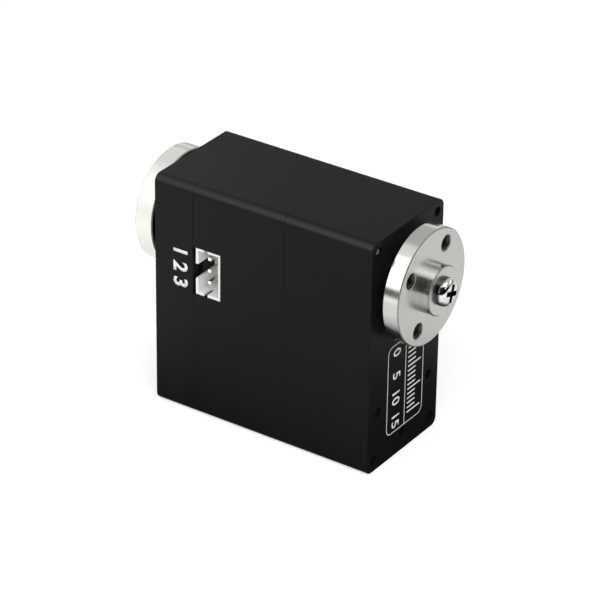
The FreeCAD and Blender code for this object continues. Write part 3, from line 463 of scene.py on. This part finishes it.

# painted shade: these dark colours stand in for the shade inside the holes
tapped = surface(
    "Tapped aluminium, painted shade",
    colours=("#30302e", "#62625f", 0.2),
    roughness=(0.25, 0.4, 0.12),
    Metallic=1.0,
)


def thread(name, body, middle, low, high):
    """The ridge in a hole along X: middle is the hole's (y, z), and sizes are in millimetres."""
    shape = bmesh.new()
    centre = Vector((0, *middle)) * MM
    turns = (high - low) / THREAD_PITCH - THREAD_FOOT
    foot = HOLE_RADIUS + THREAD_SUNK
    crest = HOLE_RADIUS - THREAD_HEIGHT * THREAD_PITCH
    width = THREAD_FOOT * THREAD_PITCH
    corners = [(low, foot), (low + width / 2, crest), (low + width, foot)]
    verts = [shape.verts.new(centre + Vector((x, 0, r)) * MM) for x, r in corners]
    shape.faces.new(verts)
    steps = int(THREAD_STEPS * turns)
    last = bmesh.ops.spin(
        shape,
        geom=verts + shape.edges[:],
        cent=centre,
        axis=(1, 0, 0),
        dvec=(turns * THREAD_PITCH * MM / steps, 0, 0),
        angle=2 * math.pi * turns,
        steps=steps,
    )["geom_last"]
    shape.faces.new([item for item in last if isinstance(item, bmesh.types.BMVert)])
    bmesh.ops.recalc_face_normals(shape, faces=shape.faces)
    piece(name, shape, tapped, body)


idler_low, idler_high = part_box("idler_horn")
idler_thread = (idler_low.x / MM + IDLER_THREAD_END, idler_high.x / MM - IDLER_THREAD_END)
mounts = {mount["name"]: mount for mount in frame["record"]["mounts"]}
hole_circle = mounts["output_horn"]["dims"]["pcd_mm"] / 2
for k in range(4):
    angle = math.radians(HORN_TURN) + k * math.pi / 2
    middle = (hole_circle * math.sin(angle), hole_circle * math.cos(angle))
    thread(f"output_horn_thread_{k + 1}", "output", middle, *OUTPUT_THREAD)
    thread(f"idler_horn_thread_{k + 1}", "idler", middle, *idler_thread)

# ---------------------------------------------------------------------------
# Screws and case bolts
# ---------------------------------------------------------------------------
# The horn screws are pan heads of nickel-plated steel, cold formed, so they are nearly mirrors.
# The long case bolts are black oxide steel; only their bare thread ends catch the light.
# painted shade: the dark colour on the sides of the heads
PLATED_SIDE_SHADE = "#5a5a5a"
PLATED_TOP = "#f0f0ee"
# the side turns into the top where the head faces along the axis by these shares
HEAD_TURN = (0.1, 0.4)
POINT_FOOT_RADIUS = 0.8
POINT_TIP_RADIUS = 0.55
POINT_LENGTH = 0.6
POINT_BEVEL = 0.12
# how far the middle of the turned point stands beyond the bolt's plain end
POINT_BEYOND = 0.28

plated = surface(
    "Nickel-plated steel", roughness=(0.08, 0.14, 1.2), bumps=(0.8, 0.012), Metallic=1.0
)
# where the surface doesn't face along the axis, as on the sides of the heads, it is painted dark
# grey, a painted shade for the dark ring round each head; what faces along the axis keeps the
# bright plated colour
tree, shader = nodes_of(plated)
top = add(
    tree,
    "ShaderNodeMapRange",
    {"Value": squareness(tree), "From Min": HEAD_TURN[0], "From Max": HEAD_TURN[1]},
    interpolation_type="SMOOTHSTEP",
).outputs["Result"]
metal = add(
    tree,
    "ShaderNodeMix",
    {"Factor": top, 6: linear(PLATED_SIDE_SHADE), 7: linear(PLATED_TOP)},
    data_type="RGBA",
).outputs[2]
tree.links.new(metal, shader.inputs["Base Color"])
dress(plated, "horn_screw", "idler_screw", "idler_washer", "sensor_magnet")

oxide_steel = surface(
    "Black oxide steel",
    colours=("#4a4a4c", "#6a6a6c", 0.6),
    roughness=(0.25, 0.4, 0.4),
    Metallic=1.0,
)
case_bolts = [f"case_bolt_{k}" for k in (1, 2, 3, 4)]
dress(oxide_steel, *case_bolts)

# the bolt at the near top corner is the longest: its turned point comes almost up to the face
cut_steel = surface(
    "Cut steel", colours=("#b8b8b4", "#d2d2ce", 0.3), roughness=(0.4, 0.6, 0.2), Metallic=1.0
)
near_bolt = min(case_bolts, key=lambda bolt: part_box(bolt)[0].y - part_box(bolt)[0].z)
bolt_low, bolt_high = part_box(near_bolt)
point = bmesh.new()
bmesh.ops.create_cone(
    point,
    cap_ends=True,
    segments=32,
    radius1=POINT_FOOT_RADIUS * MM,
    radius2=POINT_TIP_RADIUS * MM,
    depth=POINT_LENGTH * MM,
)
rim = [edge for edge in point.edges if all(v.co.z > 0 for v in edge.verts)]
bmesh.ops.bevel(
    point,
    geom=rim,
    offset=POINT_BEVEL * MM,
    segments=3,
    profile=0.5,
    affect="EDGES",
    material=-1,
)
centre = (bolt_low + bolt_high) / 2
centre.x = bolt_high.x + POINT_BEYOND * MM
point.transform(Matrix.Translation(centre) @ Matrix.Rotation(math.pi / 2, 4, "Y"))
piece("near_bolt_point", point, cut_steel, "case")

# ---------------------------------------------------------------------------
# Bearings, gears and motor
# ---------------------------------------------------------------------------
# Ground bearing rings, hobbed steel gears, a brass pinion pressed on the motor shaft, and a
# zinc-plated motor can with a moulded end cap.
ground = surface(
    "Ground bearing steel",
    roughness=(0.14, 0.22, 0.3),
    bumps=(0.2, 0.0008),
    Metallic=1.0,
    Base_Color=linear("#c2c2c4"),
)
for bearing in ("front_bearing", "tail_bearing", "idler_bearing"):
    dress(ground, f"{bearing}_inner_ring", f"{bearing}_outer_ring")

hobbed = surface(
    "Hobbed gear steel",
    colours=("#9a9a9c", "#b2b2b2", 0.8),
    roughness=(0.28, 0.42, 0.25),
    bumps=(0.15, 0.0015),
    Metallic=1.0,
)
dress(hobbed, "output_shaft", "gear_1", "gear_2", "gear_3", "gear_arbor")

brass = surface(
    "Cut brass", colours=("#b08a3e", "#c9a254", 0.9), roughness=(0.22, 0.34, 0.3), Metallic=1.0
)
dress(brass, "motor_pinion", "magnet_cup")

zinc = surface(
    "Zinc-plated steel",
    colours=("#a9abae", "#bfc1c3", 2.5),
    roughness=(0.26, 0.36, 0.8),
    bumps=(0.5, 0.002),
    detail=4.0,
    Metallic=1.0,
)
dress(zinc, "motor_can", "motor_shaft", "motor_screw_1", "motor_screw_2")

rubber = surface(
    "Nitrile rubber",
    colours=("#141414", "#1d1d1d", 0.5),
    bumps=(0.2, 0.004),
    Roughness=0.6,
    IOR=1.5,
)
dress(rubber, "output_seal")

# ---------------------------------------------------------------------------
# Connectors and circuit board
# ---------------------------------------------------------------------------
# Each connector is moulded in natural nylon, slightly milky, with three square tinned pins.
# The board is glass laminate under black solder mask; its chips are black moulded epoxy.
nylon = surface(
    "Natural nylon",
    colours=("#d9dad8", "#e5e6e4", 1.5),
    bumps=(0.3, 0.002),
    Roughness=0.38,
    IOR=1.53,
    Subsurface_Weight=0.15,
    Subsurface_Radius=(1.0, 0.95, 0.9),
    Subsurface_Scale=0.4 * MM,
)
dress(nylon, "left_socket", "right_socket")

tinned = surface(
    "Tin-plated brass",
    colours=("#ecebe6", "#f6f5f0", 0.4),
    roughness=(0.16, 0.26, 0.3),
    Metallic=1.0,
)
dress(tinned, *[f"{hand}_pin_{k}" for hand in ("left", "right") for k in (1, 2, 3)])

laminate = surface(
    "Solder mask on laminate",
    colours=("#070808", "#0e0f0f", 1.4),
    bumps=(0.6, 0.006),
    Roughness=0.45,
    IOR=1.3,
)
dress(laminate, "control_board")

epoxy = surface(
    "Moulded epoxy",
    colours=("#1a1a1b", "#232324", 0.3),
    bumps=(0.15, 0.004),
    Roughness=0.5,
    IOR=1.5,
)
dress(epoxy, "angle_chip", "controller_chip", "motor_cap")

# ---------------------------------------------------------------------------
# Table
# ---------------------------------------------------------------------------
# A white painted table under the case. In reflections alone, the paint round the case's foot is
# painted darker, a painted shade that fades out towards the white and keeps the low parts of the
# sides dark.
TABLE_SIZE = 12.0
TABLE_GLOW = 0.43
TABLE_PALE = 0.80
# the painted shade seen only in reflections: it fades between these distances from the foot,
# darkens the paint by this share and is centred this far off the case's middle
REFLECTED_SHADE_INNER = 2
REFLECTED_SHADE_OUTER = 30
REFLECTED_SHADE_DEPTH = 0.9
REFLECTED_SHADE_SHIFT = (12, 8)
FAR_GLOW = 0.05
# the table lies a hair below the foot, so that the two flat faces don't share a plane
FOOT_GAP = 0.02

floor_height = cad_box[0].z
case_back, case_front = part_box("rear_cover")[0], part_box("front_case")[1]
under_case = (
    (case_back.x + case_front.x) / 2 + REFLECTED_SHADE_SHIFT[0] * MM,
    (case_back.y + case_front.y) / 2 + REFLECTED_SHADE_SHIFT[1] * MM,
    floor_height,
)
case_reach = ((case_front.x - case_back.x) / 2, (case_front.y - case_back.y) / 2, 0)

table_paint = surface("White table")
tree, shader = nodes_of(table_paint)
tree.nodes.remove(shader)
seen = add(tree, "ShaderNodeLightPath").outputs
mirrored = add(
    tree,
    "ShaderNodeMath",
    {0: seen["Is Glossy Ray"], 1: seen["Is Transmission Ray"]},
    operation="MAXIMUM",
).outputs[0]
# how far a spot lies outside the case's foot
spot = add(tree, "ShaderNodeTexCoord").outputs["Object"]
spot = add(tree, "ShaderNodeVectorMath", {0: spot, 1: under_case}, operation="SUBTRACT").outputs[0]
spot = add(tree, "ShaderNodeVectorMath", {0: spot}, operation="ABSOLUTE").outputs[0]
spot = add(tree, "ShaderNodeVectorMath", {0: spot, 1: case_reach}, operation="SUBTRACT").outputs[0]
spot = add(tree, "ShaderNodeVectorMath", {0: spot, 1: (0, 0, 0)}, operation="MAXIMUM").outputs[0]
spot = add(tree, "ShaderNodeVectorMath", {0: spot}, operation="LENGTH").outputs["Value"]
away = add(
    tree,
    "ShaderNodeMapRange",
    {"Value": spot, "From Min": REFLECTED_SHADE_INNER * MM, "From Max": REFLECTED_SHADE_OUTER * MM},
    interpolation_type="SMOOTHSTEP",
).outputs["Result"]
# in reflections, painted shade darkens the paint near the foot, and the table far from it glows a
# little
near = add(tree, "ShaderNodeMath", {0: 1.0, 1: away}, operation="SUBTRACT").outputs[0]
near = add(tree, "ShaderNodeMath", {0: near, 1: mirrored}, operation="MULTIPLY").outputs[0]
kept = add(
    tree, "ShaderNodeMath", {0: near, 1: -REFLECTED_SHADE_DEPTH, 2: 1.0}, operation="MULTIPLY_ADD"
).outputs[0]
paint = add(tree, "ShaderNodeMath", {0: TABLE_PALE, 1: kept}, operation="MULTIPLY").outputs[0]
straight = add(
    tree, "ShaderNodeMath", {0: seen["Is Camera Ray"], 1: TABLE_GLOW}, operation="MULTIPLY"
).outputs[0]
far = add(tree, "ShaderNodeMath", {0: away, 1: mirrored}, operation="MULTIPLY").outputs[0]
glow = add(
    tree, "ShaderNodeMath", {0: far, 1: FAR_GLOW, 2: straight}, operation="MULTIPLY_ADD"
).outputs[0]
matt = add(tree, "ShaderNodeBsdfDiffuse", {"Color": paint})
light = add(tree, "ShaderNodeEmission", {"Strength": glow})
both = add(tree, "ShaderNodeAddShader", {0: light.outputs[0], 1: matt.outputs[0]})
tree.links.new(both.outputs[0], tree.nodes["Material Output"].inputs["Surface"])


def stage_sheet(name, shape, made, mirrored_only=True):
    """A sheet that isn't part of the object. With mirrored_only, only reflections see it."""
    mesh = bpy.data.meshes.new(name)
    shape.to_mesh(mesh)
    shape.free()
    mesh.materials.append(made)
    item = bpy.data.objects.new(name, mesh)
    bpy.context.scene.collection.objects.link(item)
    if mirrored_only:
        item.visible_camera = False
        item.visible_diffuse = False
        item.visible_transmission = False
        item.visible_shadow = False


def flat_stage(name, made, width, depth, where, mirrored_only=True):
    """A flat stage sheet of a size in metres."""
    shape = bmesh.new()
    bmesh.ops.create_grid(shape, x_segments=1, y_segments=1, size=0.5)
    bmesh.ops.scale(shape, vec=(width, depth, 1), verts=shape.verts)
    shape.transform(where)
    stage_sheet(name, shape, made, mirrored_only)


table_place = Matrix.Translation((0, 0, floor_height - FOOT_GAP * MM))
flat_stage("table", table_paint, TABLE_SIZE, TABLE_SIZE, table_place, mirrored_only=False)

# ---------------------------------------------------------------------------
# Ceiling, wall, flags and cards
# ---------------------------------------------------------------------------
# Bright metal looks like what stands round it. Grey card over and behind the object dims its
# sheen, three black flags give the horns and the case their dark bands, and white card bent
# half round behind lights the rear horn. Only reflections see them.
FLAG_BLACK = "#050505"
# the bent card is an arch round the output axis, at this reach behind the rear horn: it starts
# low on the far side, in this direction, and sweeps over the top to the near side
CARD_REACH = 110
CARD_START = (0, 0.866, 0.5)
CARD_SWEEP = math.radians(165)
CARD_STEPS = 28
CARD_SIDES = (-106, -175)
object_middle = (cad_box[0] + cad_box[1]) / 2


def facing(direction, distance, middle):
    """The place of a sheet that looks back at middle from a direction, its long side upright."""
    towards = Vector(direction).normalized()
    turned_to = towards.to_track_quat("Z", "Y").to_matrix().to_4x4()
    return Matrix.Translation(middle + towards * distance) @ turned_to


def glowing(name, strength, along=None, reach=None, blend="LINEAR"):
    """Card that only glows: with one strength, or from the first to the second over a reach, in
    metres, along an axis."""
    made = surface(name)
    tree, shader = nodes_of(made)
    tree.nodes.remove(shader)
    if along:
        place = add(tree, "ShaderNodeTexCoord").outputs["Object"]
        place = add(tree, "ShaderNodeSeparateXYZ", {"Vector": place}).outputs[along]
        strength = add(
            tree,
            "ShaderNodeMapRange",
            {
                "Value": place,
                "From Min": reach[0],
                "From Max": reach[1],
                "To Min": strength[0],
                "To Max": strength[1],
            },
            interpolation_type=blend,
        ).outputs["Result"]
    light = add(tree, "ShaderNodeEmission", {"Strength": strength})
    tree.links.new(light.outputs[0], tree.nodes["Material Output"].inputs["Surface"])
    return made


grey_card = glowing("Grey ceiling", (0.57, 0.4), along="X", reach=(0.0, 0.3))
ceiling_place = Matrix.Translation((-0.12, 0.75, 0.45))
flat_stage("grey_ceiling", grey_card, width=2.1, depth=1.4, where=ceiling_place)
wall_place = facing((0.50, 0.86, 0.15), distance=0.8, middle=object_middle)
flat_stage("grey_wall", glowing("Grey wall", 0.35), width=1.0, depth=0.5, where=wall_place)

black_card = surface("Black card", Base_Color=linear(FLAG_BLACK), Roughness=1.0, IOR=1.0)
flag_place = facing((-0.5, -0.8, 0.03), distance=0.3, middle=object_middle)
flat_stage("horizon_flag", black_card, width=0.5, depth=0.085, where=flag_place)
flag_place = facing((0.98, -0.05, 0.14), distance=0.6, middle=object_middle)
flat_stage("front_flag", black_card, width=0.75, depth=0.32, where=flag_place)
flag_place = facing((0.49, -0.80, 0.34), distance=0.3, middle=Vector((0, 0, 0)))
flat_stage("boss_flag", black_card, width=0.46, depth=0.44, where=flag_place)

white_card = glowing("White card", (1.5, 1.05), along="Y", reach=(-0.06, 0.03), blend="SMOOTHSTEP")
shape = bmesh.new()
ends = [
    shape.verts.new((Vector(CARD_START) * CARD_REACH + Vector((x, 0, 0))) * MM) for x in CARD_SIDES
]
edge = shape.edges.new(ends)
bmesh.ops.spin(
    shape, geom=ends + [edge], cent=(0, 0, 0), axis=(1, 0, 0), angle=CARD_SWEEP, steps=CARD_STEPS
)
stage_sheet("bent_card", shape, white_card)
# the two glowing cards on the table, which only reflections see, lie one and half a millimetre up,
# so that they don't share a plane
card_place = Matrix.Translation((-0.115, -0.085, floor_height + MM))
flat_stage("floor_card", white_card, width=0.10, depth=0.23, where=card_place)
card_place = Matrix.Translation((-0.165, -0.095, floor_height + 0.5 * MM))
flat_stage("near_card", glowing("Near card", 1.0), width=0.30, depth=0.11, where=card_place)

# ---------------------------------------------------------------------------
# Room and lamps
# ---------------------------------------------------------------------------
# A white room that lights the object at a plain level, with soft lamps at the front left, on top
# and behind, and a fill lamp at the front right that no reflection shows.
ROOM_LEVEL = 0.40
ROOM_WHITE = "#ffffff"

room = bpy.data.worlds.new("White room")
bpy.context.scene.world = room
room.use_nodes = True
tree = room.node_tree
seen = add(tree, "ShaderNodeLightPath").outputs
direct = add(
    tree,
    "ShaderNodeMath",
    {0: seen["Is Camera Ray"], 1: seen["Is Glossy Ray"]},
    operation="MAXIMUM",
).outputs[0]
direct = add(
    tree, "ShaderNodeMath", {0: direct, 1: seen["Is Transmission Ray"]}, operation="MAXIMUM"
).outputs[0]
level = add(tree, "ShaderNodeMapRange", {"Value": direct, "To Min": ROOM_LEVEL, "To Max": 1.0})
tree.links.new(level.outputs["Result"], tree.nodes["Background"].inputs["Strength"])
tree.nodes["Background"].inputs["Color"].default_value = linear(ROOM_WHITE)


def soft_lamp(name, direction, distance, width, height, radiance, mirrored=True):
    """A rectangular lamp that faces the object. Radiance 1 would look white, and unless mirrored
    is set, no reflection shows the lamp."""
    lamp = bpy.data.lights.new(name, "AREA")
    lamp.shape = "RECTANGLE"
    lamp.size = width
    lamp.size_y = height
    lamp.energy = radiance * math.pi * width * height
    holder = bpy.data.objects.new(name, lamp)
    holder.matrix_world = facing(direction, distance, object_middle)
    holder.visible_glossy = mirrored
    bpy.context.scene.collection.objects.link(holder)


soft_lamp(
    "front_left_softbox", (-0.20, -0.80, 0.58), distance=0.7, width=1.20, height=0.75, radiance=1.3
)
soft_lamp("top_softbox", (0.50, 0.0, 0.85), distance=0.5, width=0.40, height=0.26, radiance=0.95)
soft_lamp(
    "front_right_fill",
    (0.62, -0.55, 0.52),
    distance=0.7,
    width=0.5,
    height=0.5,
    radiance=3.0,
    mirrored=False,
)
soft_lamp("rear_softbox", (0.5, 0.75, 0.5), distance=0.8, width=0.5, height=0.4, radiance=0.8)

# ---------------------------------------------------------------------------
# Camera
# ---------------------------------------------------------------------------
# A long lens looks down on the near top corner of the front face. Its angles are in degrees,
# about the vertical, above the table and about its own axis; its place is in millimetres.
CAMERA_PLACE = (267.84, -440.26, 284.31)
AZIMUTH, ELEVATION, ROLL = (math.radians(angle) for angle in (33.999, 29.173, 0.830))

lens = bpy.data.cameras.new("camera")
lens.lens = 192.75
lens.sensor_width = 36.0
lens.clip_start = 0.01
lens.clip_end = 50.0
back = Vector(
    (
        math.sin(AZIMUTH) * math.cos(ELEVATION),
        -math.cos(AZIMUTH) * math.cos(ELEVATION),
        math.sin(ELEVATION),
    )
)
level_right = Vector((0, 0, 1)).cross(back).normalized()
level_up = back.cross(level_right)
right = level_right * math.cos(ROLL) + level_up * math.sin(ROLL)
up = level_up * math.cos(ROLL) - level_right * math.sin(ROLL)
camera = bpy.data.objects.new("camera", lens)
camera.rotation_mode = "QUATERNION"
camera.rotation_quaternion = Matrix((right, up, back)).transposed().to_quaternion()
camera.location = Vector(CAMERA_PLACE) * MM
bpy.context.scene.collection.objects.link(camera)
bpy.context.scene.camera = camera
bpy.context.scene.view_settings.view_transform = "Standard"
